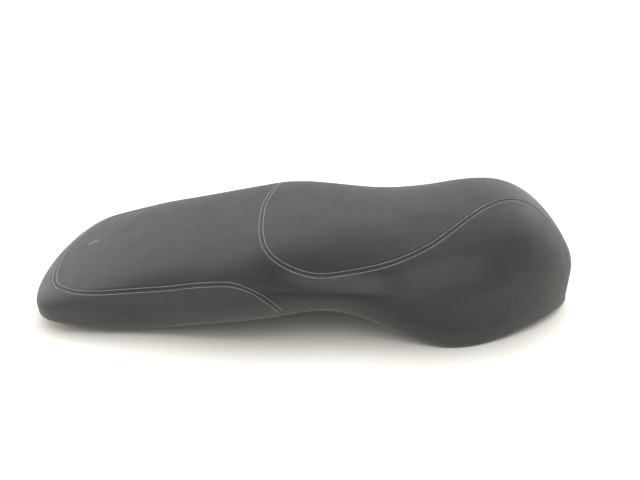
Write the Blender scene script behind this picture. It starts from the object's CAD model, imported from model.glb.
import math

import bmesh
import bpy
import numpy as np
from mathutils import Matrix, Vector
from mathutils.bvhtree import BVHTree
from mathutils.kdtree import KDTree


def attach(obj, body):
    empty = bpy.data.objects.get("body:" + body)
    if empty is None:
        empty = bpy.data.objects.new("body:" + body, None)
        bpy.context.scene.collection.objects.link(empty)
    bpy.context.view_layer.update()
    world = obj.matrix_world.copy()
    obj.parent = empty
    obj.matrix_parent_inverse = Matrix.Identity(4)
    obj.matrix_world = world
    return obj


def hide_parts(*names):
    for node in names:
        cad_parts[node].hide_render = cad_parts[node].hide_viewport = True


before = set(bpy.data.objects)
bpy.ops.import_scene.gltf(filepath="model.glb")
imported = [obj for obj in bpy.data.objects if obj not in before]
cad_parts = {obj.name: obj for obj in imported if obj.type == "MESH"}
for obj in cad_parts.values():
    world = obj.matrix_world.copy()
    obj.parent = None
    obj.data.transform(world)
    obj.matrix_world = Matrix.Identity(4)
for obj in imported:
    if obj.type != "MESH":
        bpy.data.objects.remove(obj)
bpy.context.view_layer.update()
MM = 0.001

# ------------------------------------------------------------------ camera first
scene = bpy.context.scene
az, el = math.radians(5.0), math.radians(26.886)
back = Vector((math.sin(az) * math.cos(el), -math.cos(az) * math.cos(el), math.sin(el)))
cam_data = bpy.data.cameras.new("camera")
cam = bpy.data.objects.new("camera", cam_data)
scene.collection.objects.link(cam)
cam.location = Vector((0, 0, 0.060)) + back * 0.96482
cam.rotation_euler = (-back).to_track_quat("-Z", "Y").to_euler()
cam_data.sensor_fit = "HORIZONTAL"
cam_data.sensor_width = 36.0
cam_data.lens = 36.0 * 667.77 / 640.0
cam_data.shift_x = 12.72 / 640.0
cam_data.shift_y = 11.094 / 640.0
cam_data.clip_end = 50.0
scene.camera = cam

# ------------------------------------------------------------------ the seat's form (mm)
L = 740.0
XS = [-370, -290, -200, -110, -30, 40, 110, 190, 270, 370]
WIDTH = [132.8, 151.5, 148.2, 152.5, 147.5, 135.1, 134.6, 144.4, 139.8, 141.1]
CROWN = [48.0, 74.3, 98.7, 119.0, 137.1, 146.6, 148.8, 160.1, 178.3, 106.5]
EDGE = [30.0, 38.4, 56.8, 65.0, 77.3, 82.7, 81.1, 80.1, 72.8, 50.3]
RIM = [20.0, 12.0, 11.5, 27.0, 38.3, 43.5, 23.9, 3.0, 5.8, 10.0]
SHAPE_X = [-330, -60, 120, 290]
SHAPE_A = [2.5, 2.9, 2.15, 2.05]
SHAPE_B = [0.45, 0.38, 0.73, 0.48]
TAIL_L, TAIL_N, NOSE_L, NOSE_N, TUCK = 50.0, 3.06, 191.0, 1.70, 4.71
SEAM_A = [(-60.4, 0.0), (-56.9, 49.9), (-33.7, 127.3), (61.3, 127.8), (173.2, 95.8), (239.4, 49.1), (324.2, 30.2)]
SEAM_B = [(-18.8, 39.9), (-30.1, 54.8), (-44.4, 67.6), (-61.5, 79.6), (-81.6, 85.4), (-104.6, 84.2), (-130.4, 80.6), (-159.1, 75.0), (-190.6, 70.2), (-224.5, 65.8), (-258.2, 61.4), (-288.7, 57.7), (-313.1, 55.2), (-329.2, 53.9), (-346.9, 53.6), (-356.5, 51.0)]
FRONT_HALF = 27.0
SKIN = 1.8     # thickness of the cover
ROLL = 0.9     # radius of its rolled lower edge
HEM = 1.5


def spline(xs, ys):
    """Cubic spline, not-a-knot, for one or more columns of values."""
    x = np.asarray(xs, float)
    y = np.asarray(ys, float)
    n = len(x)
    h = np.diff(x)
    m = np.zeros((n, n))
    r = np.zeros((n,) + y.shape[1:])
    for i in range(1, n - 1):
        m[i, i - 1], m[i, i], m[i, i + 1] = h[i - 1], 2 * (h[i - 1] + h[i]), h[i]
        r[i] = 6 * ((y[i + 1] - y[i]) / h[i] - (y[i] - y[i - 1]) / h[i - 1])
    m[0, 0], m[0, 1], m[0, 2] = h[1], -(h[0] + h[1]), h[0]
    m[-1, -1], m[-1, -2], m[-1, -3] = h[-2], -(h[-1] + h[-2]), h[-1]
    c = np.linalg.solve(m, r)

    def value(t):
        t = np.asarray(t, float)
        k = np.clip(np.searchsorted(x, t) - 1, 0, n - 2)
        a, b, hk = x[k + 1] - t, t - x[k], h[k]
        if y.ndim > 1:
            a, b, hk = a[..., None], b[..., None], hk[..., None]
        return (c[k] * a**3 + c[k + 1] * b**3) / (6 * hk) + (y[k] / hk - c[k] * hk / 6) * a + (y[k + 1] / hk - c[k + 1] * hk / 6) * b

    return value


def smooth(xs, ys):
    x = np.asarray(xs, float)
    y = np.asarray(ys, float)
    h = np.diff(x)
    s = np.diff(y) / h
    d = np.zeros(len(x))
    for i in range(1, len(x) - 1):
        if s[i - 1] * s[i] > 0:
            w1, w2 = 2 * h[i] + h[i - 1], h[i] + 2 * h[i - 1]
            d[i] = (w1 + w2) / (w1 / s[i - 1] + w2 / s[i])
    for e, s0, s1, h0, h1 in ((0, s[0], s[1], h[0], h[1]), (-1, s[-1], s[-2], h[-1], h[-2])):
        v = ((2 * h0 + h1) * s0 - h0 * s1) / (h0 + h1)
        d[e] = 0.0 if v * s0 <= 0 else (3 * s0 if s0 * s1 <= 0 and abs(v) > 3 * abs(s0) else v)

    def value(t):
        t = np.clip(np.asarray(t, float), x[0], x[-1])
        k = np.clip(np.searchsorted(x, t) - 1, 0, len(x) - 2)
        u = (t - x[k]) / h[k]
        return (2 * u**3 - 3 * u**2 + 1) * y[k] + (u**3 - 2 * u**2 + u) * h[k] * d[k] + (3 * u**2 - 2 * u**3) * y[k + 1] + (u**3 - u**2) * h[k] * d[k + 1]

    return value


f_w, f_t, f_e, f_r = spline(XS, WIDTH), spline(XS, CROWN), spline(XS, EDGE), spline(XS, RIM)
f_a, f_b = smooth(SHAPE_X, SHAPE_A), smooth(SHAPE_X, SHAPE_B)


def ends(x):
    t = np.clip((-L / 2 + TAIL_L - x) / TAIL_L, 0, 1)
    n = np.clip((x - (L / 2 - NOSE_L)) / NOSE_L, 0, 1)
    return np.maximum(1 - t**TAIL_N, 0) ** (1 / TAIL_N) * np.maximum(1 - n**NOSE_N, 0) ** (1 / NOSE_N)


def section(x):
    e = ends(x)
    w = f_w(x) * e
    edge = f_e(x)
    return w, edge + (f_t(x) - edge) * np.sqrt(e), edge, f_r(x), TUCK * np.minimum(1.0, w / 60)


def surface(x, u, rim_up=-0.6):
    """Point of the cover's outside.  u runs from -2 (right rim) over 0 (crown) to 2 (left rim)."""
    w, crown, edge, rim, tuck = section(x)
    a, b = f_a(x), f_b(x)
    s, g = np.sign(u), np.abs(u)
    q = np.sin(np.minimum(g, 1) * np.pi / 2)
    v = np.clip(g - 1, 0, 1)
    lean = np.minimum(tuck, 0.6 * w) * v * v
    y = np.where(g <= 1, w * q, w - lean)
    z = np.where(g <= 1, edge + (crown - edge) * np.maximum(1 - q**a, 0) ** b, edge + (rim + rim_up - edge) * v)
    return np.stack([x, s * y, z], -1)


# stations evenly spaced round the plan outline
_psi = np.linspace(0, np.pi / 2, 1600)
_xt = -L / 2 + TAIL_L - TAIL_L * np.cos(_psi) ** (2 / TAIL_N)
_xn = L / 2 - NOSE_L + NOSE_L * np.cos(_psi[::-1]) ** (2 / NOSE_N)
X_DENSE = np.unique(np.concatenate([_xt, np.linspace(-L / 2 + TAIL_L, L / 2 - NOSE_L, 1600), _xn]))
_w = section(X_DENSE)[0]
OUT_S = np.concatenate([[0], np.cumsum(np.hypot(np.diff(X_DENSE), np.diff(_w)))])


def x_of(c):
    return np.interp(c, OUT_S, X_DENSE)


# ------------------------------------------------------------------ seams as lines on the surface
def even(pts, step):
    s = np.concatenate([[0], np.cumsum(np.linalg.norm(np.diff(pts, axis=0), axis=1))])
    n = max(2, int(round(s[-1] / step)) + 1)
    t = np.linspace(0, s[-1], n)
    return np.stack([np.interp(t, s, pts[:, k]) for k in range(pts.shape[1])], -1)


def chord_curve(pts, n):
    pts = np.asarray(pts, float)
    s = np.concatenate([[0], np.cumsum(np.linalg.norm(np.diff(pts, axis=0), axis=1))])
    return spline(s, pts)(np.linspace(0, s[-1], n))


def u_of_y(x, y):
    w = section(x)[0]
    return np.sign(y) * np.arcsin(np.clip(np.abs(y) / np.maximum(w, 1e-6), 0, 1)) * 2 / np.pi


a_pts = [(x, -y) for x, y in reversed(SEAM_A[1:])] + SEAM_A
plan = chord_curve(a_pts, 4000)
w_at = section(plan[:, 0])[0]
over = np.abs(plan[:, 1]) > 0.985 * w_at
plan[over, 1] = np.sign(plan[over, 1]) * 0.985 * w_at[over]
# forward of the last point the seam eases to a constant half width and goes down the nose
xf = np.linspace(324.2, 369.9, 900)[1:]
yf = FRONT_HALF + (30.2 - FRONT_HALF) * np.exp(-(xf - 324.2) / 14.0)
wf = section(xf)[0]
stop = int(np.argmax(wf * 0.999 < yf))
xf, yf = xf[:stop], yf[:stop]
plan = np.concatenate([np.stack([xf[::-1], -yf[::-1]], 1), plan, np.stack([xf, yf], 1)])
top_a = surface(plan[:, 0], u_of_y(plan[:, 0], plan[:, 1]))
down = np.linspace(1, 2, 120)[1:]
line_left = surface(np.full(119, xf[-1]), down)
line_right = surface(np.full(119, xf[-1]), -down)
SEAM_A_LINE = even(np.concatenate([line_right[::-1], top_a, line_left]), 0.4)

b_curve = chord_curve(SEAM_B, 3000)
_o = np.argsort(b_curve[:, 0])
BX, BZ = b_curve[_o, 0], b_curve[_o, 1]


def z_b(x):
    return np.where(x > -18.8, -99.0, np.interp(x, BX, BZ, left=BZ[0]))


def band_point(x, side):
    """Where the surface at station x has the height of the tail seam."""
    w, crown, edge, rim, tuck = section(x)
    z = z_b(x)
    a, b = f_a(x), f_b(x)
    h = np.clip((z - edge) / np.maximum(crown - edge, 1e-6), 0, 1)
    q = np.maximum(1 - h ** (1 / b), 0) ** (1 / a)
    v = np.clip((edge - z) / np.maximum(edge - rim + 0.6, 1e-6), 0, 1)
    g = np.where(z >= edge, np.arcsin(np.clip(q, 0, 1)) * 2 / np.pi, 1 + v)
    return surface(x, side * g)


# the seam crosses the centre line where the crown comes down to its height
xs_b = X_DENSE[(X_DENSE > -369.99) & (X_DENSE < -18.9)]
cr = section(xs_b)[1]
first = int(np.argmax(cr >= z_b(xs_b)))
x_fine = np.linspace(xs_b[first - 1], xs_b[first], 400)
x_fine = x_fine[section(x_fine)[1] >= z_b(x_fine)]
xs_b = np.concatenate([x_fine, xs_b[first + 1:], np.linspace(-19.2, -18.801, 60)])
right = band_point(xs_b, -1.0)
left = band_point(xs_b, 1.0)
SEAM_B_LINE = even(np.concatenate([right[::-1], left]), 0.4)
SEAMS = {"a": SEAM_A_LINE, "b": SEAM_B_LINE}
ARC = {k: np.concatenate([[0], np.cumsum(np.linalg.norm(np.diff(p, axis=0), axis=1))]) for k, p in SEAMS.items()}
ALL = np.concatenate([SEAM_A_LINE, SEAM_B_LINE])
ALL_SEAM = np.concatenate([np.zeros(len(SEAM_A_LINE), int), np.ones(len(SEAM_B_LINE), int)])
ALL_ARC = np.concatenate([ARC["a"], ARC["b"]])
tree = KDTree(len(ALL))
for i, p in enumerate(ALL):
    tree.insert(p, i)
tree.balance()


def near(points):
    idx = np.empty(len(points), int)
    dist = np.empty(len(points))
    for i, p in enumerate(points):
        _, j, d = tree.find(p)
        idx[i], dist[i] = j, d
    return idx, dist


plan_poly = np.concatenate([plan, [[420.0, plan[-1, 1]], [420.0, plan[0, 1]]]])


def inside_plan(x, y):
    """Point in polygon, vectorised over the points."""
    out = np.zeros(len(x), bool)
    lo = plan_poly.min(0)
    todo = np.where((x > lo[0]) & (np.abs(y) < 140))[0]
    px, py = plan_poly[::6, 0], plan_poly[::6, 1]
    px = np.append(px, [420.0, 420.0, px[0]])
    py = np.append(py, [plan_poly[-2, 1], plan_poly[-1, 1], py[0]])
    for k in range(len(px) - 1):
        y0, y1 = py[k], py[k + 1]
        if y0 == y1:
            continue
        hit = (y0 > y[todo]) != (y1 > y[todo])
        xc = px[k] + (y[todo] - y0) / (y1 - y0) * (px[k + 1] - px[k])
        out[todo[hit & (x[todo] < xc)]] ^= True
    return out


def member(p, u):
    """0 main panel, 1 rider's panel, 2 tail band."""
    g = np.abs(u)
    rider = inside_plan(p[:, 0], p[:, 1]) & ((g < 1.0) | (p[:, 0] > 345))
    tail = (p[:, 0] < -18.8) & (p[:, 2] < z_b(p[:, 0]))
    return np.where(tail, 2, np.where(rider, 1, 0))


# ------------------------------------------------------------------ base mesh, refined along the seams
def build_skin():
    step = 7.5
    nc = int(round(OUT_S[-1] / step))
    c = np.linspace(0, OUT_S[-1], nc + 1)
    g = np.concatenate([np.linspace(0, 1, 27), np.linspace(1, 2, 9)[1:]])
    u = np.concatenate([-g[::-1], g[1:]])
    nu = len(u)
    C, U = np.meshgrid(c, u, indexing="ij")
    P = np.stack([C.ravel(), U.ravel()], 1)
    i, j = np.meshgrid(np.arange(nc), np.arange(nu - 1), indexing="ij")
    a = (i * nu + j).ravel()
    b, d, e = a + nu, a + 1, a + nu + 1
    flip = ((i + j) % 2).ravel().astype(bool)
    F = np.concatenate([
        np.stack([a, b, e], 1)[~flip], np.stack([a, e, d], 1)[~flip],
        np.stack([a, b, d], 1)[flip], np.stack([b, e, d], 1)[flip],
    ])
    V = surface(x_of(P[:, 0]), P[:, 1])
    wide, fine = ((4.6, 1.05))
    for _ in range(9):
        E = np.sort(np.concatenate([F[:, [0, 1]], F[:, [1, 2]], F[:, [2, 0]]]), 1)
        key = E[:, 0].astype(np.int64) * len(P) + E[:, 1]
        _, first_of, inv = np.unique(key, return_index=True, return_inverse=True)
        UE = E[first_of]
        Pm = (P[UE[:, 0]] + P[UE[:, 1]]) / 2
        Vm = surface(x_of(Pm[:, 0]), Pm[:, 1])
        ln = np.linalg.norm(V[UE[:, 0]] - V[UE[:, 1]], axis=1)
        cand = ln > fine
        dist = np.full(len(UE), 99.0)
        if cand.any():
            dist[cand] = near(Vm[cand])[1]
        reach = np.maximum(dist - 0.35 * ln, 0)
        goal = np.interp(reach, [0, 4.6, 8.0, 14.0, 26.0], [fine, fine, fine * 1.9, fine * 3.0, wide])
        above = np.maximum(Vm[:, 2] - f_r(Vm[:, 0]), 0)
        goal = np.minimum(goal, np.interp(above, [0, 2.5, 8.0, 18.0], [1.7 + 0.3 * fine, 1.9 + 0.3 * fine, 4.5, wide]))
        mark = ln > goal
        if not mark.any():
            break
        new = np.full(len(UE), -1)
        new[mark] = len(P) + np.arange(mark.sum())
        P = np.concatenate([P, Pm[mark]])
        V = np.concatenate([V, Vm[mark]])
        m = new[inv.ravel()].reshape(3, -1).T      # midpoints of edges 01, 12, 20
        n_cut = (m >= 0).sum(1)
        parts = [F[n_cut == 0]]
        k = n_cut == 3
        f, q = F[k], m[k]
        parts += [np.stack([f[:, 0], q[:, 0], q[:, 2]], 1), np.stack([q[:, 0], f[:, 1], q[:, 1]], 1), np.stack([q[:, 2], q[:, 1], f[:, 2]], 1), q]
        for r in range(3):
            # one cut, on edge r
            k = (n_cut == 1) & (m[:, r] >= 0)
            f, q = np.roll(F[k], -r, 1), m[k, r]
            parts += [np.stack([f[:, 0], q, f[:, 2]], 1), np.stack([q, f[:, 1], f[:, 2]], 1)]
            # two cuts, edge r whole: its opposite corner is f[2] after the roll
            k = (n_cut == 2) & (m[:, r] < 0)
            f, q = np.roll(F[k], -r, 1), np.roll(m[k], -r, 1)
            q12, q20 = q[:, 1], q[:, 2]
            parts.append(np.stack([q20, q12, f[:, 2]], 1))
            d1 = np.linalg.norm(V[f[:, 0]] - V[q12], axis=1)
            d2 = np.linalg.norm(V[f[:, 1]] - V[q20], axis=1)
            s = d1 <= d2
            parts += [np.stack([f[s, 0], f[s, 1], q12[s]], 1), np.stack([f[s, 0], q12[s], q20[s]], 1)]
            s = ~s
            parts += [np.stack([f[s, 0], f[s, 1], q20[s]], 1), np.stack([f[s, 1], q12[s], q20[s]], 1)]
        F = np.concatenate(parts)
    U = P[:, 1]
    M = member(V, U)
    # weld the two ends, where each section closes to a line
    key = np.round(V, 3)
    _, first_of, inv = np.unique(key, axis=0, return_index=True, return_inverse=True)
    inv = inv.ravel()
    V, U, M = V[first_of], U[first_of], M[first_of]
    F = inv[F]
    F = F[(F[:, 0] != F[:, 1]) & (F[:, 1] != F[:, 2]) & (F[:, 0] != F[:, 2])]
    # snap the nearer end of each edge that crosses a seam
    E = np.unique(np.sort(np.concatenate([F[:, [0, 1]], F[:, [1, 2]], F[:, [2, 0]]]), 1), axis=0)
    cross = E[M[E[:, 0]] != M[E[:, 1]]]
    ids = np.unique(cross)
    idx, dist = near(V[ids])
    dmap = dict(zip(ids.tolist(), dist.tolist()))
    near_to = dict(zip(ids.tolist(), idx.tolist()))
    snapped = np.zeros(len(V), bool)
    for p, q in cross:
        k = p if dmap[p] <= dmap[q] else q
        snapped[k] = True
    for k in np.where(snapped)[0]:
        V[k] = ALL[near_to[int(k)]]
    # panel of each face, from its corners that aren't on a seam
    fm = np.where(snapped[F], -1, M[F])
    face_m = fm.max(1)
    lost = face_m < 0
    face_m[lost] = M[F[lost, 0]]
    return V, F, U, snapped, face_m


def normals(V, F):
    n = np.cross(V[F[:, 1]] - V[F[:, 0]], V[F[:, 2]] - V[F[:, 0]])
    out = np.zeros_like(V)
    for k in range(3):
        np.add.at(out, F[:, k], n)
    ln = np.linalg.norm(out, axis=1, keepdims=True)
    return out / np.maximum(ln, 1e-12)


V0, F0, U0, SNAP, FACE_M = build_skin()
N0 = normals(V0, F0)
if (N0[:, 2] * (U0 ** 2 < 0.25)).sum() < 0:
    F0 = F0[:, ::-1].copy()
    N0 = -N0
print("skin", len(V0), len(F0), "snapped", int(SNAP.sum()))


# ------------------------------------------------------------------ the sewn relief
def wave(t, wavelengths, seed):
    """Smooth irregular wave of unit size along a length."""
    r = np.random.default_rng(seed)
    out = np.zeros_like(t)
    for w in wavelengths:
        out += np.sin(2 * np.pi * t / w + r.uniform(0, 2 * np.pi)) * r.uniform(0.6, 1.0)
    return out / len(wavelengths)


PITCH = 5.0        # stitch pitch
ROW = 2.8          # each row of stitches stands this far from the seam


def relief(V, idx, d):
    s = ALL_ARC[idx]
    along = np.cos(2 * np.pi * s / PITCH)
    pucker = wave(s, (9.3, 13.1, 17.7, 6.1), 3)
    out = -0.30 * np.exp(-((d / 0.60) ** 2))
    out += 0.14 * np.exp(-(((d - 1.5) / 0.70) ** 2))
    out -= (0.26 - 0.12 * along) * np.exp(-(((d - ROW) / 0.70) ** 2))
    out += (0.34 + 0.15 * pucker) * np.exp(-(((d - 6.6) / 2.9) ** 2))
    return out


def unevenness(V):
    """Slow unevenness of moulded foam under a hand-pulled cover."""
    x, y, z = V[:, 0], V[:, 1], V[:, 2]
    r = np.random.default_rng(11)
    out = np.zeros(len(V))
    for wl, amp in ((210.0, 0.45), (120.0, 0.30), (64.0, 0.14), (37.0, 0.06)):
        for _ in range(4):
            k = r.normal(size=3)
            k *= 2 * np.pi / wl / np.linalg.norm(k)
            out += amp / 2 * np.sin(k[0] * x + k[1] * y + k[2] * z + r.uniform(0, 6.28))
    return out


def mesh_object(name, verts_mm, faces, shade=True):
    me = bpy.data.meshes.new(name)
    me.from_pydata((np.asarray(verts_mm) * MM).tolist(), [], [list(map(int, f)) for f in faces])
    me.validate()
    if shade:
        me.polygons.foreach_set("use_smooth", np.ones(len(me.polygons), bool))
    me.update()
    o = bpy.data.objects.new(name, me)
    scene.collection.objects.link(o)
    return o


def shoulder(V):
    """Soft shoulder below the rider's seam at the waist, with a scoop under it."""
    x, y, z = V[:, 0], np.abs(V[:, 1]), V[:, 2]
    zc = np.interp(x, [-110, -55, 3, 58, 108, 150], [97.0, 89.0, 77.5, 74.5, 77.0, 79.0])
    along = np.clip((x + 95) / 75, 0, 1) * np.clip((150 - x) / 75, 0, 1)
    along = along * along * (3 - 2 * along)
    on_side = np.clip((y - 95) / 20, 0, 1)
    bump = 5.4 * np.exp(-(((z - zc - 1.0) / 8.5) ** 2)) - 2.4 * np.exp(-(((z - zc + 17.0) / 8.0) ** 2))
    return bump * along * on_side


IDX, DIST = near(V0)
rim_z = f_r(V0[:, 0])
up_from_rim = np.maximum(V0[:, 2] - rim_z, 0)
side_fade = np.clip(up_from_rim / 10.0, 0, 1) ** 2 * (3 - 2 * np.clip(up_from_rim / 10.0, 0, 1))


def cloth_swell():
    """How far the stretched cover stands off between its seams, in mm, on a grid.

    A closed grid copy of the cover is run as Blender Cloth with light inside pressure
    and no gravity, held at the seams, the rim, the underside and the two ends."""
    nc, nu, nb = 112, 61, 14
    cc, uu = np.linspace(0, OUT_S[-1], nc), np.linspace(-2, 2, nu)
    C, U = np.meshgrid(cc, uu, indexing="ij")
    top = surface(x_of(C.ravel()), U.ravel())
    whole = top.reshape(nc, nu, 3)
    grid = whole[3:-3]                               # the ends close to a line, and stay put
    nc -= 6
    t = np.linspace(0, 1, nb + 2)[1:-1]
    under = grid[:, -1:, :] * (1 - t)[None, :, None] + grid[:, :1, :] * t[None, :, None]
    ring = np.concatenate([grid, under], 1)          # each section as a closed ring
    nr = ring.shape[1]
    i, j = np.meshgrid(np.arange(nc - 1), np.arange(nr), indexing="ij")
    a, b = i * nr + j, i * nr + (j + 1) % nr
    faces = np.stack([a.ravel(), (a + nr).ravel(), (b + nr).ravel(), b.ravel()], 1)
    o = mesh_object("cover_cloth", ring.reshape(-1, 3), faces)
    flat = ring.reshape(-1, 3)
    _, seam_d = near(flat)
    col = np.tile(np.arange(nr), nc)
    row = np.repeat(np.arange(nc), nr)
    low = flat[:, 2] - f_r(flat[:, 0])
    held = (seam_d < 5.0) | (col >= nu) | (low < 9.0) | (row < 2) | (row > nc - 3)
    group = o.vertex_groups.new(name="held")
    group.add(np.nonzero(held)[0].tolist(), 1.0, "REPLACE")
    mod = o.modifiers.new("cloth", "CLOTH")
    st = mod.settings
    st.quality = 6
    st.mass = 0.3
    st.tension_stiffness = st.compression_stiffness = 22.0
    st.shear_stiffness = 8.0
    st.bending_stiffness = 2.0
    st.tension_damping = st.compression_damping = 12.0
    st.use_pressure = True
    st.uniform_pressure_force = 3.0
    st.vertex_group_mass = "held"
    st.pin_stiffness = 1.0
    st.effector_weights.gravity = 0.0
    mod.collision_settings.use_collision = False
    mod.collision_settings.use_self_collision = False
    mod.point_cache.frame_start, mod.point_cache.frame_end = 1, 20
    for frame_no in range(1, 21):
        scene.frame_set(frame_no)
    ev = o.evaluated_get(bpy.context.evaluated_depsgraph_get())
    after = np.empty(len(flat) * 3)
    ev.data.vertices.foreach_get("co", after)
    after = after.reshape(-1, 3) / MM
    scene.frame_set(1)
    gu, gv = np.gradient(grid, axis=0), np.gradient(grid, axis=1)
    nn = np.cross(gu, gv)
    nn /= np.maximum(np.linalg.norm(nn, axis=2, keepdims=True), 1e-9)
    mid = grid.mean(1, keepdims=True)
    nn *= np.sign(np.sum(nn * (grid - mid), 2, keepdims=True).mean())
    moved = np.sum((after.reshape(nc, nr, 3)[:, :nu] - grid) * nn, 2)
    print("cloth travel mm", np.percentile(moved, [0, 5, 50, 95, 100]).round(2))
    data = o.data
    bpy.data.objects.remove(o, do_unlink=True)
    bpy.data.meshes.remove(data)
    moved = np.pad(np.nan_to_num(moved), ((3, 3), (0, 0)))
    moved = CAP * np.tanh(moved / CAP)               # no point travels further than this
    for _ in range(2):
        moved[1:-1] = 0.25 * moved[:-2] + 0.5 * moved[1:-1] + 0.25 * moved[2:]
        moved[:, 1:-1] = 0.25 * moved[:, :-2] + 0.5 * moved[:, 1:-1] + 0.25 * moved[:, 2:]
    return cc, uu, moved


def on_grid(cc, uu, values, c, u):
    fi = np.clip(np.interp(c, cc, np.arange(len(cc))), 0, len(cc) - 1.001)
    fj = np.clip(np.interp(u, uu, np.arange(len(uu))), 0, len(uu) - 1.001)
    i, j = fi.astype(int), fj.astype(int)
    a, b = fi - i, fj - j
    return ((1 - a) * (1 - b) * values[i, j] + a * (1 - b) * values[i + 1, j]
            + (1 - a) * b * values[i, j + 1] + a * b * values[i + 1, j + 1])


CAP = 1.8
h = (unevenness(V0) + shoulder(V0)) * side_fade
cloth_c, cloth_u, travel = cloth_swell()
long_x = x_of(cloth_c)
order = np.argsort(long_x)
c_here = np.interp(V0[:, 0], long_x[order], cloth_c[order])
# the cover starts a little small and is blown back out to the fitted shape
h += (on_grid(cloth_c, cloth_u, travel, c_here, U0) - 0.35) * side_fade
H_BROAD = h.copy()                  # the lining and the foam follow this much of it
h += relief(V0, IDX, DIST)
V1 = V0 + N0 * h[:, None]
RIM = np.abs(U0) >= 1.999999
OUTWARD = N0 * np.array([1.0, 1.0, 0.0])
OUTWARD /= np.maximum(np.linalg.norm(OUTWARD, axis=1, keepdims=True), 1e-9)
V1 += (0.95 * np.exp(-((up_from_rim / 1.7) ** 2)))[:, None] * OUTWARD     # the folded edge stands a little proud
INNER = V0 + N0 * (H_BROAD - SKIN)[:, None]


def float_attribute(o, name, values):
    at = o.data.attributes.new(name, "FLOAT", "POINT")
    at.data.foreach_set("value", np.asarray(values, np.float32))


def make_panel(name, which):
    """Closed shell: outside with its sewn relief, rolled lower edge, inside."""
    F = F0[FACE_M == which]
    used = np.unique(F)
    loc = np.full(len(V0), -1)
    loc[used] = np.arange(len(used))
    f = loc[F]
    n = len(used)
    outer, inner = V1[used], INNER[used]
    verts = [outer, inner]
    faces = [f, f[:, ::-1] + n]
    E = np.concatenate([f[:, [0, 1]], f[:, [1, 2]], f[:, [2, 0]]])
    key = np.sort(E, 1)
    key = key[:, 0].astype(np.int64) * n + key[:, 1]
    uk, inv, cnt = np.unique(key, return_inverse=True, return_counts=True)
    B = E[cnt[inv.ravel()] == 1]
    rim = RIM[used]
    is_rim = rim[B[:, 0]] & rim[B[:, 1]]
    quads = [(b, a, a + n, b + n) for a, b in B[~is_rim]]
    rows = 5
    rim_ids = np.unique(B[is_rim])
    at = {int(k): i for i, k in enumerate(rim_ids)}
    base = 2 * n
    o = OUTWARD[used][rim_ids]
    for r in range(1, rows + 1):
        phi = math.pi * r / (rows + 1)
        p = outer[rim_ids] + ROLL * (math.cos(phi) - 1) * o
        p[:, 2] -= ROLL * math.sin(phi)
        verts.append(p)
    m = len(rim_ids)
    for a, b in B[is_rim]:
        col_a = [a] + [base + r * m + at[int(a)] for r in range(rows)] + [a + n]
        col_b = [b] + [base + r * m + at[int(b)] for r in range(rows)] + [b + n]
        for k in range(rows + 1):
            quads.append((col_b[k], col_a[k], col_a[k + 1], col_b[k + 1]))
    all_v = np.concatenate(verts)
    obj = mesh_object(name, all_v, [tuple(t) for part in faces for t in part] + quads)
    seam = np.concatenate([np.exp(-((DIST[used] / 1.3) ** 2)), np.zeros(n), np.zeros(rows * m)])
    float_attribute(obj, "seam_depth", seam)
    edge = np.concatenate([np.clip(1 - up_from_rim[used] / 26.0, 0, 1), np.zeros(n), np.ones(rows * m)])
    float_attribute(obj, "rim_near", edge)
    bm = bmesh.new()
    bm.from_mesh(obj.data)
    open_edges = [e for e in bm.edges if e.is_boundary]
    if open_edges:
        bmesh.ops.holes_fill(bm, edges=open_edges, sides=0)
    bad = [e for e in bm.edges if not e.is_manifold]
    print(name, "verts", len(bm.verts), "faces", len(bm.faces), "filled", len(open_edges), "non-manifold", len(bad))
    bm.to_mesh(obj.data)
    bm.free()
    return obj


panel_main = make_panel("main_panel_vinyl", 0)
panel_rider = make_panel("rider_panel_vinyl", 1)
panel_tail = make_panel("tail_band_vinyl", 2)

# ------------------------------------------------------------------ stitches
skin_tree = BVHTree.FromPolygons(V1.tolist(), F0.tolist(), all_triangles=True)
skin_kd = KDTree(len(V0))
for i, v in enumerate(V0):
    skin_kd.insert(v, i)
skin_kd.balance()


def normals_at(points):
    """Normals of the smooth surface near some points, averaged over neighbours."""
    out = []
    for p in points:
        n = np.zeros(3)
        for _, i, _ in skin_kd.find_n(p, 6):
            n += N0[i]
        out.append(n / np.linalg.norm(n))
    return np.array(out)


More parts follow.
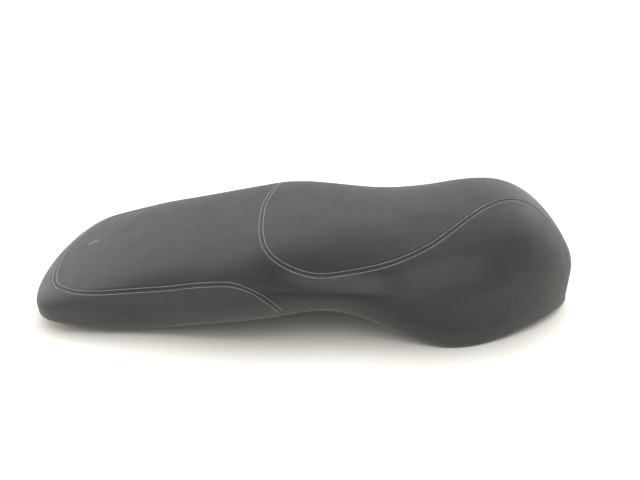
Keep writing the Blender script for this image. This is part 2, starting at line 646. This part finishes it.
def stitch_row(line, offset, name, seed):
    """A row of separate thread stitches beside a seam, on its left or right."""
    r = np.random.default_rng(seed)
    centre = even(line, 1.0)
    n0 = normals_at(centre)
    for _ in range(4):
        n0[1:-1] = 0.25 * n0[:-2] + 0.5 * n0[1:-1] + 0.25 * n0[2:]
    soft = centre.copy()
    for _ in range(6):
        soft[1:-1] = 0.25 * soft[:-2] + 0.5 * soft[1:-1] + 0.25 * soft[2:]
    tan = np.gradient(soft, axis=0)
    tan /= np.linalg.norm(tan, axis=1, keepdims=True)
    side = np.cross(n0, tan)
    side /= np.linalg.norm(side, axis=1, keepdims=True)
    row = centre + side * offset
    for _ in range(3):
        row[1:-1] = 0.25 * row[:-2] + 0.5 * row[1:-1] + 0.25 * row[2:]
    s = np.concatenate([[0], np.cumsum(np.linalg.norm(np.diff(row, axis=0), axis=1))])
    total = s[-1]
    n = int(total / PITCH)
    rings, around = ((9, 7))
    half = 2.40
    t_ring = np.linspace(-1, 1, rings)
    ang = np.linspace(0, 2 * np.pi, around, endpoint=False)
    V, F = [], []

    def at(values, where):
        return np.stack([np.interp(where, s, values[:, c]) for c in range(3)], -1)

    base = 0
    for k in range(n):
        mid = (k + 0.5) * total / n + r.uniform(-0.10, 0.10)
        ss = mid + half * t_ring
        if ss[0] < 1.0 or ss[-1] > total - 1.0:
            continue
        p, nn, sd = at(row, ss), at(n0, ss), at(side, ss)
        if p[:, 2].min() < f_r(p[rings // 2, 0]) + 1.4:
            continue
        nn /= np.linalg.norm(nn, axis=1, keepdims=True)
        sd /= np.linalg.norm(sd, axis=1, keepdims=True)
        slant = (0.20 + r.uniform(-0.06, 0.06)) * np.sign(offset)
        q = p + sd * (slant * t_ring)[:, None]
        hits = []
        for a, b in zip(q, nn):
            hit = skin_tree.ray_cast(Vector(a + 9 * b), Vector(-b), 20.0)
            hits.append(np.array(hit[0]) if hit[0] is not None else a)
        q = np.array(hits)
        # pulled straight between its holes, and down into them at the ends
        straight = q[0] + (q[-1] - q[0]) * ((t_ring + 1) / 2)[:, None]
        rise = np.maximum(np.sum((q - straight) * nn, axis=1), 0.0)
        q = straight + nn * (rise + 0.25 - 0.60 * np.abs(t_ring) ** 8 + r.uniform(-0.03, 0.03))[:, None]
        rad = (0.33 - 0.08 * np.abs(t_ring) ** 6) * (1 + r.uniform(-0.06, 0.06))
        tq = np.gradient(q, axis=0)
        tq /= np.linalg.norm(tq, axis=1, keepdims=True)
        nrm = np.cross(sd, tq)
        nrm /= np.linalg.norm(nrm, axis=1, keepdims=True)
        ring = []
        for i in range(rings):
            a = ang + 2.4 * t_ring[i]
            lobes = rad[i] * (1 + 0.10 * np.cos(3 * a + 5.0 * t_ring[i]))
            ring.append(q[i] + lobes[:, None] * (np.cos(a)[:, None] * sd[i] + np.sin(a)[:, None] * nrm[i]))
        V.append(np.concatenate(ring))
        for i in range(rings - 1):
            for j in range(around):
                j2 = (j + 1) % around
                F.append((base + i * around + j, base + i * around + j2, base + (i + 1) * around + j2, base + (i + 1) * around + j))
        F.append(tuple(base + j for j in reversed(range(around))))
        F.append(tuple(base + (rings - 1) * around + j for j in range(around)))
        base += rings * around
    o = mesh_object(name, np.concatenate(V), F)
    bm = bmesh.new()
    bm.from_mesh(o.data)
    bmesh.ops.recalc_face_normals(bm, faces=bm.faces)
    bm.to_mesh(o.data)
    bm.free()
    return o


threads = [
    stitch_row(SEAM_A_LINE, ROW, "stitches_rider_inner", 21),
    stitch_row(SEAM_A_LINE, -ROW, "stitches_rider_outer", 22),
    stitch_row(SEAM_B_LINE, ROW, "stitches_band_upper", 23),
    stitch_row(SEAM_B_LINE, -ROW, "stitches_band_lower", 24),
]


# ------------------------------------------------------------------ hem turned under the rim
def rim_ring(inset, n):
    """Closed loop, one inset all round inside the lower edge, evenly spaced."""
    x = X_DENSE
    w, _, _, rim, tuck = section(x)
    y = w - np.minimum(tuck, 0.6 * w) - inset
    keep = y > 0.05
    xs = x[keep] * (L / 2 - inset) / (L / 2)
    ys = y[keep]
    left = np.stack([xs, ys], 1)
    loop = np.concatenate([[[-(L / 2 - inset), 0.0]], left, [[L / 2 - inset, 0.0]], (left * [1, -1])[::-1], [[-(L / 2 - inset), 0.0]]])
    s = np.concatenate([[0], np.cumsum(np.linalg.norm(np.diff(loop, axis=0), axis=1))])
    t = np.arange(n) / n * s[-1]
    out = np.stack([np.interp(t, s, loop[:, 0]), np.interp(t, s, loop[:, 1])], 1)
    return out, t


def make_hem():
    n = 900
    insets = [1.0, 2.2, 4.0, 6.2, 8.6, 11.0, 13.0, 13.9]
    rows = []
    for k, inset in enumerate(insets):
        ring, t = rim_ring(inset, n)
        g = k / (len(insets) - 1)
        fold = wave(t, (11.0, 17.0, 7.3), 31)
        ring = ring.copy()
        z = f_r(np.clip(ring[:, 0], -369, 369)) - HEM - 0.30 * g * (0.5 + 0.5 * fold) * (k > 0)
        if k >= len(insets) - 2:
            ring[:, 1] += np.sign(ring[:, 1]) * 0.5 * wave(t, (23.0, 9.0), 32)
        rows.append(np.column_stack([ring, z]))
    top = []
    for k in (7, 6, 4, 2, 0):
        r = rows[k].copy()
        r[:, 2] = f_r(np.clip(r[:, 0], -369, 369)) - (0.12 if k != 7 else 0.55)
        if k == 7:
            r[:, 0] *= 355.6 / 356.1
        top.append(r)
    loops = rows + top
    V = np.concatenate(loops)
    F = []
    m = len(loops)
    for a in range(m):
        b = (a + 1) % m
        for i in range(n):
            j = (i + 1) % n
            F.append((a * n + i, b * n + i, b * n + j, a * n + j))
    o = mesh_object("hem_vinyl_turned", V, F)
    bm = bmesh.new()
    bm.from_mesh(o.data)
    bmesh.ops.recalc_face_normals(bm, faces=bm.faces)
    bm.to_mesh(o.data)
    bm.free()
    return o


hem = make_hem()


# ------------------------------------------------------------------ foam
def make_foam():
    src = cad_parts["foam_core"]
    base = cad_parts["seat_base"]
    base_tree = BVHTree.FromPolygons(
        [base.matrix_world @ v.co for v in base.data.vertices], [list(p.vertices) for p in base.data.polygons])
    me = src.data.copy()
    o = bpy.data.objects.new("foam_moulded", me)
    scene.collection.objects.link(o)
    o.data.materials.clear()
    re = o.modifiers.new("even", "REMESH")
    re.mode = "VOXEL"
    re.voxel_size = 0.0055
    sm = o.modifiers.new("soften", "SMOOTH")
    sm.factor, sm.iterations = 0.5, 2
    dg = bpy.context.evaluated_depsgraph_get()
    done = bpy.data.meshes.new_from_object(o.evaluated_get(dg))
    o.modifiers.clear()
    o.data = done
    bm = bmesh.new()
    bm.from_mesh(done)
    for v in bm.verts:
        _, k, far = skin_kd.find(v.co / MM)
        near_skin = min(max((11.0 - far) / 4.0, 0.0), 1.0)
        faces_base = float(np.dot(N0[k], v.normal)) < 0.2 or near_skin < 0.5
        v.co -= v.normal * (0.0026 if faces_base else 0.0004)     # clear of the base's pockets
        v.co += Vector(N0[k] * (float(H_BROAD[k]) * near_skin * MM))
        # foam never shows past the base: step back towards the cover where it would
        out, down = Vector(N0[k]), Vector((0, 0, -1))
        if faces_base:
            for _ in range(6):
                if base_tree.ray_cast(v.co, -out, 0.08)[0] is not None and base_tree.ray_cast(v.co, down, 0.2)[0] is not None:
                    break
                if (v.co / MM - Vector(V0[k])).length < SKIN + 0.6:
                    break
                v.co += out * 0.0015
    bm.to_mesh(done)
    bm.free()
    done.polygons.foreach_set("use_smooth", np.ones(len(done.polygons), bool))
    return o


foam = make_foam()


# ------------------------------------------------------------------ materials
class Nodes:
    """Short hand for building a shader tree."""

    def __init__(self, name):
        self.mat = bpy.data.materials.new(name)
        self.mat.use_nodes = True
        self.nt = self.mat.node_tree
        self.bsdf = self.nt.nodes["Principled BSDF"]
        self.pos = self.add("ShaderNodeTexCoord").outputs["Object"]

    def add(self, kind, **props):
        n = self.nt.nodes.new(kind)
        for k, v in props.items():
            setattr(n, k, v)
        return n

    def link(self, a, b):
        self.nt.links.new(a, b)

    def put(self, socket, value):
        if hasattr(value, "links") or isinstance(value, bpy.types.NodeSocket):
            self.link(value, socket)
        else:
            socket.default_value = value

    def noise(self, scale, detail=3.0, rough=0.5, vector=None, distortion=0.0):
        n = self.add("ShaderNodeTexNoise")
        self.link(vector or self.pos, n.inputs["Vector"])
        n.inputs["Scale"].default_value = scale
        n.inputs["Detail"].default_value = detail
        n.inputs["Roughness"].default_value = rough
        n.inputs["Distortion"].default_value = distortion
        return n.outputs["Fac"]

    def voronoi(self, scale, feature="F1", vector=None, smooth=None):
        n = self.add("ShaderNodeTexVoronoi", feature=feature)
        self.link(vector or self.pos, n.inputs["Vector"])
        n.inputs["Scale"].default_value = scale
        if smooth is not None:
            n.inputs["Smoothness"].default_value = smooth
        return n.outputs["Distance"]

    def scaled(self, x, y, z, vector=None):
        n = self.add("ShaderNodeMapping")
        self.link(vector or self.pos, n.inputs["Vector"])
        n.inputs["Scale"].default_value = (x, y, z)
        return n.outputs["Vector"]

    def ramp(self, fac, lo, hi, a=0.0, b=1.0):
        n = self.add("ShaderNodeMapRange")
        n.clamp = True
        self.put(n.inputs["Value"], fac)
        n.inputs["From Min"].default_value = lo
        n.inputs["From Max"].default_value = hi
        n.inputs["To Min"].default_value = a
        n.inputs["To Max"].default_value = b
        return n.outputs["Result"]

    def math(self, op, a, b=0.0):
        n = self.add("ShaderNodeMath", operation=op)
        self.put(n.inputs[0], a)
        self.put(n.inputs[1], b)
        return n.outputs[0]

    def mix(self, fac, a, b, blend="MIX"):
        n = self.add("ShaderNodeMix", data_type="RGBA", blend_type=blend)
        self.put(n.inputs[0], fac)
        for s, v in ((n.inputs[6], a), (n.inputs[7], b)):
            self.put(s, v if not isinstance(v, tuple) else (*v, 1.0) if len(v) == 3 else v)
        return n.outputs[2]

    def attribute(self, name):
        n = self.add("ShaderNodeAttribute", attribute_name=name)
        return n.outputs["Fac"]

    def bump(self, height, distance, strength=1.0, normal=None):
        n = self.add("ShaderNodeBump")
        n.inputs["Strength"].default_value = strength
        n.inputs["Distance"].default_value = distance
        self.link(height, n.inputs["Height"])
        if normal is not None:
            self.link(normal, n.inputs["Normal"])
        return n.outputs["Normal"]


def vinyl(name, tint=(1.0, 1.0, 1.0), grain=860.0, offset=0.0, marks=()):
    """Charcoal upholstery vinyl with a fine pressed pebble grain."""
    m = Nodes(name)
    shift = m.add("ShaderNodeVectorMath", operation="ADD")
    m.link(m.pos, shift.inputs[0])
    shift.inputs[1].default_value = (offset, offset * 0.7, -offset * 0.4)
    p = shift.outputs[0]
    broad = m.noise(5.5, 3.0, 0.55, p)
    cloud = m.noise(32.0, 4.0, 0.6, p)
    fine = m.noise(420.0, 2.0, 0.5, p)
    base_a = tuple(c * t for c, t in zip((0.0235, 0.0253, 0.0257), tint))
    base_b = tuple(c * t for c, t in zip((0.0300, 0.0312, 0.0310), tint))
    col = m.mix(m.ramp(broad, 0.32, 0.68), base_a, base_b)
    col = m.mix(m.ramp(cloud, 0.35, 0.75, 0.0, 0.30), col, tuple(c * t for c, t in zip((0.0180, 0.0196, 0.0198), tint)))
    # grain: pebbles with darker valleys
    warp = m.noise(900.0, 2.0, 0.5, p)
    wv = m.add("ShaderNodeVectorMath", operation="SCALE")
    wn = m.add("ShaderNodeTexNoise")
    m.link(p, wn.inputs["Vector"])
    wn.inputs["Scale"].default_value = 520.0
    m.link(wn.outputs["Color"], wv.inputs[0])
    wv.inputs["Scale"].default_value = 0.0007
    wa = m.add("ShaderNodeVectorMath", operation="ADD")
    m.link(p, wa.inputs[0])
    m.link(wv.outputs[0], wa.inputs[1])
    pebble = m.voronoi(grain, "DISTANCE_TO_EDGE", wa.outputs[0])
    peb = m.ramp(pebble, 0.0, 0.22)
    col = m.mix(m.ramp(pebble, 0.0, 0.10, 0.30, 0.0), col, tuple(c * 0.45 * t for c, t in zip((0.0235, 0.0253, 0.0257), tint)))
    # the gap between the two rows of stitches holds shadow and a little dirt
    seam = m.attribute("seam_depth")
    col = m.mix(m.ramp(seam, 0.05, 0.9, 0.0, 0.05), col, (0.008, 0.0085, 0.0085))
    # dust and rubbing towards the lower edge
    edge = m.attribute("rim_near")
    col = m.mix(m.math("MULTIPLY", m.ramp(edge, 0.0, 1.0, 0.0, 0.85), m.ramp(cloud, 0.2, 0.8, 0.7, 1.0)), col, (0.080, 0.0805, 0.0785))
    col = m.mix(m.math("MULTIPLY", m.ramp(edge, 0.90, 0.975, 0.0, 0.9), m.ramp(cloud, 0.2, 0.8, 0.75, 1.0)), col, (0.105, 0.107, 0.103))
    rub = m.math("MULTIPLY", m.ramp(m.noise(70.0, 5.0, 0.65, p), 0.50, 0.72), m.ramp(edge, 0.65, 1.0, 0.0, 0.45))
    col = m.mix(rub, col, (0.085, 0.082, 0.076))
    rough = m.ramp(broad, 0.3, 0.7, 0.47, 0.55)
    rough = m.math("ADD", rough, m.ramp(cloud, 0.3, 0.7, -0.03, 0.04))
    rough = m.math("ADD", rough, m.ramp(fine, 0.3, 0.7, -0.02, 0.03))
    for (ax, ay, az_), (bx, by, bz), wide, strength in marks:
        # a short pale rub: distance from a line in the object's own space
        mid = Vector(((ax + bx) / 2, (ay + by) / 2, (az_ + bz) / 2))
        along = Vector((bx - ax, by - ay, bz - az_))
        half_len = along.length / 2
        d = along.normalized()
        rel = m.add("ShaderNodeVectorMath", operation="SUBTRACT")
        m.link(m.pos, rel.inputs[0])
        rel.inputs[1].default_value = mid
        dot = m.add("ShaderNodeVectorMath", operation="DOT_PRODUCT")
        m.link(rel.outputs[0], dot.inputs[0])
        dot.inputs[1].default_value = d
        ln = m.add("ShaderNodeVectorMath", operation="LENGTH")
        m.link(rel.outputs[0], ln.inputs[0])
        t2 = m.math("MULTIPLY", dot.outputs["Value"], dot.outputs["Value"])
        r2 = m.math("MULTIPLY", ln.outputs["Value"], ln.outputs["Value"])
        perp = m.math("SQRT", m.math("MAXIMUM", m.math("SUBTRACT", r2, t2), 0.0))
        perp = m.math("ADD", perp, m.ramp(m.noise(240.0, 2.0, 0.5), 0.3, 0.7, -0.0005, 0.0005))
        side = m.ramp(perp, wide * 0.4, wide, 1.0, 0.0)
        end = m.ramp(m.math("ABSOLUTE", dot.outputs["Value"]), half_len * 0.55, half_len, 1.0, 0.0)
        patch = m.ramp(m.noise(900.0, 3.0, 0.6), 0.35, 0.6, 0.35, 1.0)
        mark = m.math("MULTIPLY", m.math("MULTIPLY", side, end), patch)
        col = m.mix(m.math("MULTIPLY", mark, strength), col, (0.24, 0.24, 0.23))
    m.link(col, m.bsdf.inputs["Base Color"])
    m.link(rough, m.bsdf.inputs["Roughness"])
    m.bsdf.inputs["IOR"].default_value = 1.50
    m.bsdf.inputs["Specular IOR Level"].default_value = 0.36
    soft = m.bump(m.noise(55.0, 3.0, 0.55, p), 0.00035, 0.55)
    mid_b = m.bump(m.noise(210.0, 3.0, 0.6, p), 0.00012, 0.5, soft)
    peb_b = m.bump(peb, 0.00009, 0.85, mid_b)
    fin = m.bump(warp, 0.00003, 0.6, peb_b)
    m.link(fin, m.bsdf.inputs["Normal"])
    return m.mat


def thread_material():
    m = Nodes("stitching_thread")
    a = m.noise(38.0, 3.0, 0.6)
    b = m.noise(1400.0, 2.0, 0.5)
    col = m.mix(m.ramp(a, 0.3, 0.7), (0.345, 0.338, 0.302), (0.450, 0.441, 0.402))
    col = m.mix(m.ramp(b, 0.35, 0.65, 0.0, 0.35), col, (0.20, 0.195, 0.18))
    m.link(col, m.bsdf.inputs["Base Color"])
    m.link(m.ramp(b, 0.3, 0.7, 0.62, 0.78), m.bsdf.inputs["Roughness"])
    m.bsdf.inputs["Sheen Weight"].default_value = 0.15
    m.bsdf.inputs["Sheen Roughness"].default_value = 0.5
    m.link(m.bump(m.noise(2600.0, 2.0, 0.5), 0.00008, 0.7), m.bsdf.inputs["Normal"])
    return m.mat


def moulded_plastic():
    m = Nodes("moulded_plastic_black")
    broad = m.noise(9.0, 4.0, 0.6)
    flow = m.noise(26.0, 3.0, 0.5, m.scaled(0.35, 1.0, 1.0), distortion=0.8)
    dust = m.noise(75.0, 6.0, 0.68)
    grain = m.noise(2100.0, 3.0, 0.6)
    col = m.mix(m.ramp(broad, 0.3, 0.7), (0.0165, 0.0165, 0.0172), (0.0260, 0.0260, 0.0262))
    col = m.mix(m.ramp(flow, 0.50, 0.70, 0.0, 0.35), col, (0.036, 0.036, 0.036))
    col = m.mix(m.ramp(dust, 0.56, 0.74, 0.0, 0.40), col, (0.095, 0.088, 0.076))
    m.link(col, m.bsdf.inputs["Base Color"])
    rough = m.math("ADD", m.ramp(broad, 0.3, 0.7, 0.42, 0.52), m.ramp(dust, 0.5, 0.75, 0.0, 0.18))
    m.link(rough, m.bsdf.inputs["Roughness"])
    m.bsdf.inputs["IOR"].default_value = 1.49
    m.link(m.bump(grain, 0.00005, 0.8, m.bump(flow, 0.0004, 0.25)), m.bsdf.inputs["Normal"])
    return m.mat


def rubber():
    m = Nodes("buffer_rubber_black")
    broad = m.noise(60.0, 4.0, 0.6)
    dust = m.noise(260.0, 5.0, 0.65)
    grain = m.noise(3200.0, 2.0, 0.5)
    col = m.mix(m.ramp(broad, 0.3, 0.7), (0.0190, 0.0190, 0.0185), (0.0330, 0.0325, 0.0310))
    col = m.mix(m.ramp(dust, 0.52, 0.72, 0.0, 0.55), col, (0.105, 0.098, 0.086))
    m.link(col, m.bsdf.inputs["Base Color"])
    m.link(m.ramp(dust, 0.3, 0.7, 0.68, 0.84), m.bsdf.inputs["Roughness"])
    m.link(m.bump(grain, 0.00006, 0.8), m.bsdf.inputs["Normal"])
    return m.mat


def metal(name, a, b, rough=(0.28, 0.46), stain=(0.20, 0.16, 0.11), stained=0.25, grain=1500.0, stretch=(1.0, 0.12, 1.0)):
    m = Nodes(name)
    broad = m.noise(70.0, 4.0, 0.6)
    spots = m.noise(340.0, 5.0, 0.68)
    brush = m.noise(grain, 3.0, 0.55, m.scaled(*stretch))
    col = m.mix(m.ramp(broad, 0.3, 0.7), a, b)
    col = m.mix(m.ramp(spots, 0.56, 0.76, 0.0, stained), col, stain)
    m.link(col, m.bsdf.inputs["Base Color"])
    m.bsdf.inputs["Metallic"].default_value = 1.0
    r = m.math("ADD", m.ramp(broad, 0.3, 0.7, *rough), m.ramp(spots, 0.5, 0.75, 0.0, 0.22))
    m.link(r, m.bsdf.inputs["Roughness"])
    m.link(m.bump(brush, 0.00003, 0.55, m.bump(spots, 0.00005, 0.4)), m.bsdf.inputs["Normal"])
    return m.mat


def painted_steel():
    m = Nodes("painted_steel_black")
    peel = m.noise(620.0, 2.0, 0.5)
    broad = m.noise(55.0, 4.0, 0.6)
    chips = m.noise(480.0, 6.0, 0.72)
    chip = m.ramp(chips, 0.695, 0.72)
    col = m.mix(m.ramp(broad, 0.3, 0.7), (0.0145, 0.0147, 0.0150), (0.0240, 0.0240, 0.0240))
    col = m.mix(m.ramp(broad, 0.55, 0.78, 0.0, 0.3), col, (0.085, 0.080, 0.070))
    col = m.mix(chip, col, (0.36, 0.33, 0.29))
    m.link(col, m.bsdf.inputs["Base Color"])
    m.link(m.math("MULTIPLY", chip, 0.85), m.bsdf.inputs["Metallic"])
    m.link(m.ramp(broad, 0.3, 0.7, 0.30, 0.42), m.bsdf.inputs["Roughness"])
    m.bsdf.inputs["Coat Weight"].default_value = 0.15
    m.bsdf.inputs["Coat Roughness"].default_value = 0.25
    low = m.bump(m.math("SUBTRACT", 1.0, chip), 0.00008, 0.8)
    m.link(m.bump(peel, 0.00006, 0.6, low), m.bsdf.inputs["Normal"])
    return m.mat


def foam_material():
    m = Nodes("moulded_foam")
    broad = m.noise(20.0, 4.0, 0.6)
    cells = m.voronoi(1500.0, "F1")
    col = m.mix(m.ramp(broad, 0.3, 0.7), (0.36, 0.31, 0.20), (0.47, 0.42, 0.30))
    col = m.mix(m.ramp(cells, 0.0, 0.55, 0.45, 0.0), col, (0.20, 0.165, 0.10))
    m.link(col, m.bsdf.inputs["Base Color"])
    m.link(m.ramp(broad, 0.3, 0.7, 0.86, 0.95), m.bsdf.inputs["Roughness"])
    m.bsdf.inputs["Subsurface Weight"].default_value = 0.0
    m.link(m.bump(cells, 0.0002, 0.7), m.bsdf.inputs["Normal"])
    return m.mat


def floor_material():
    m = Nodes("floor_white")
    n = m.noise(0.8, 2.0, 0.5)
    m.link(m.mix(n, (0.955, 0.895, 0.82), (0.965, 0.905, 0.835)), m.bsdf.inputs["Base Color"])
    m.link(m.ramp(n, 0.3, 0.7, 0.85, 0.92), m.bsdf.inputs["Roughness"])
    m.bsdf.inputs["Specular IOR Level"].default_value = 0.2
    return m.mat


def dress(o, mat):
    if not o.material_slots:
        o.data.materials.append(mat)
    for s in o.material_slots:
        s.material = mat


MARKS = [((-0.3190, -0.0195, 0.0656), (-0.3015, -0.0108, 0.0707), 0.0044, 0.62)]
for hand in (-1, 1):                # dusty, rubbed shoulders where legs pass over the edge
    MARKS.append(((-0.030, hand * 0.1320, 0.0950), (0.128, hand * 0.1385, 0.0840), 0.0170, 0.17))
    MARKS.append(((0.110, hand * 0.1390, 0.0850), (0.245, hand * 0.1280, 0.1200), 0.0260, 0.11))
mat_main = vinyl("vinyl_main", (1.0, 1.0, 1.0), 860.0, 0.0, MARKS)
mat_rider = vinyl("vinyl_rider", (1.03, 1.02, 1.01), 860.0, 0.37)
mat_tail = vinyl("vinyl_band", (1.45, 1.48, 1.47), 860.0, 0.81)
mat_hem = vinyl("vinyl_hem", (0.90, 0.90, 0.90), 860.0, 1.43)
mat_thread = thread_material()
mat_plastic = moulded_plastic()
mat_rubber = rubber()
mat_zinc = metal("zinc_plated_steel", (0.58, 0.57, 0.53), (0.70, 0.68, 0.62), stained=0.28)
mat_wire = metal("staple_wire_steel", (0.55, 0.55, 0.55), (0.66, 0.65, 0.63), rough=(0.24, 0.36), stained=0.35)
mat_brass = metal("brass_insert", (0.60, 0.43, 0.17), (0.70, 0.52, 0.22), rough=(0.25, 0.38), stain=(0.22, 0.14, 0.06))
mat_bronze = metal("bronze_bush", (0.42, 0.26, 0.14), (0.52, 0.34, 0.19), rough=(0.35, 0.50), stain=(0.12, 0.07, 0.04))
mat_paint = painted_steel()
mat_foam = foam_material()

for piece, mat in ((panel_main, mat_main), (panel_rider, mat_rider), (panel_tail, mat_tail), (hem, mat_hem), (foam, mat_foam)):
    dress(piece, mat)
for piece in threads:
    dress(piece, mat_thread)
for node, mat in {
    "cover_staples": mat_wire, "seat_base": mat_plastic,
    "buffers_rear": mat_rubber, "buffers_middle": mat_rubber, "buffers_front": mat_rubber,
    "striker_plate": mat_zinc, "striker_loop": mat_zinc, "striker_bolts": mat_zinc, "striker_inserts": mat_brass,
    "hinge_seat_bracket": mat_paint, "hinge_studs": mat_zinc, "hinge_nuts": mat_zinc, "hinge_bushes": mat_bronze,
    "hinge_frame_bracket": mat_paint, "hinge_pin": mat_zinc, "hinge_pin_clip": mat_zinc, "hinge_washers": mat_zinc,
}.items():
    dress(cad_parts[node], mat)

# ------------------------------------------------------------------ what each piece rides on and stands for
for piece in (panel_main, panel_rider, panel_tail, hem, foam, *threads):
    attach(piece, "seat")
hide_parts("cover_rider_panel")
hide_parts("cover_main_panel")
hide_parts("cover_tail_band")
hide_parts("cover_hem")
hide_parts("foam_core")

# ------------------------------------------------------------------ floor, light, world
bm = bmesh.new()
bmesh.ops.create_grid(bm, x_segments=4, y_segments=4, size=7.0)
me = bpy.data.meshes.new("floor")
bm.to_mesh(me)
bm.free()
floor = bpy.data.objects.new("floor", me)
scene.collection.objects.link(floor)
floor.location = (0, 2.0, -0.0003)
dress(floor, floor_material())

world = bpy.data.worlds.new("white_room")
scene.world = world
world.use_nodes = True
wt = world.node_tree
bg = wt.nodes["Background"]
tc = wt.nodes.new("ShaderNodeTexCoord")


# a white room: soft broad glows, each (azimuth, elevation, colour x strength)
GLOWS = [
    (45, 6, (1.376, 1.368, 1.421)),
    (180, 6, (1.617, 1.625, 1.615)),
    (225, 6, (0.430, 0.440, 0.409)),
    (270, 6, (1.060, 1.080, 1.030)),
    (255, 60, (0.130, 0.150, 0.180)),
    (30, 38, (2.045, 2.110, 2.160)),
    (90, 38, (0.255, 0.267, 0.250)),
    (150, 38, (1.33, 1.35, 1.34)),
    (90, 66, (1.72, 1.80, 1.83)),
]
light_sum = None
for az, el, tone in GLOWS:
    az, el = math.radians(az), math.radians(el)
    dot = wt.nodes.new("ShaderNodeVectorMath")
    dot.operation = "DOT_PRODUCT"
    wt.links.new(tc.outputs["Generated"], dot.inputs[0])
    dot.inputs[1].default_value = (math.cos(el) * math.cos(az), math.cos(el) * math.sin(az), math.sin(el))
    fall = wt.nodes.new("ShaderNodeMath")
    fall.operation = "MULTIPLY_ADD"
    wt.links.new(dot.outputs["Value"], fall.inputs[0])
    fall.inputs[1].default_value = 5.0
    fall.inputs[2].default_value = -5.0
    power = wt.nodes.new("ShaderNodeMath")
    power.operation = "EXPONENT"
    wt.links.new(fall.outputs[0], power.inputs[0])
    part = wt.nodes.new("ShaderNodeVectorMath")
    part.operation = "SCALE"
    part.inputs[0].default_value = tone
    wt.links.new(power.outputs[0], part.inputs["Scale"])
    if light_sum is None:
        light_sum = part.outputs[0]
    else:
        more = wt.nodes.new("ShaderNodeVectorMath")
        more.operation = "ADD"
        wt.links.new(light_sum, more.inputs[0])
        wt.links.new(part.outputs[0], more.inputs[1])
        light_sum = more.outputs[0]
wt.links.new(light_sum, bg.inputs["Color"])
bg.inputs["Strength"].default_value = 1.0


def area(name, loc, target, size, energy, color):
    d = bpy.data.lights.new(name, "AREA")
    d.shape = "RECTANGLE"
    d.size, d.size_y = size
    d.energy = energy
    d.color = color
    o = bpy.data.objects.new(name, d)
    scene.collection.objects.link(o)
    o.location = loc
    o.rotation_euler = (Vector(target) - Vector(loc)).to_track_quat("-Z", "Y").to_euler()
    return o


area("soft_left", (-1.75, 0.75, 0.50), (-0.3, 0, 0.05), (0.7, 0.5), 5.0, (1.0, 0.995, 0.97))
area("soft_right", (1.3, 1.2, 0.75), (0.3, 0, 0.12), (0.5, 0.4), 3.0, (1.0, 0.985, 0.97))

scene.view_settings.view_transform = "Standard"
scene.view_settings.look = "None"
scene.view_settings.exposure = 0.0
scene.view_settings.gamma = 1.0
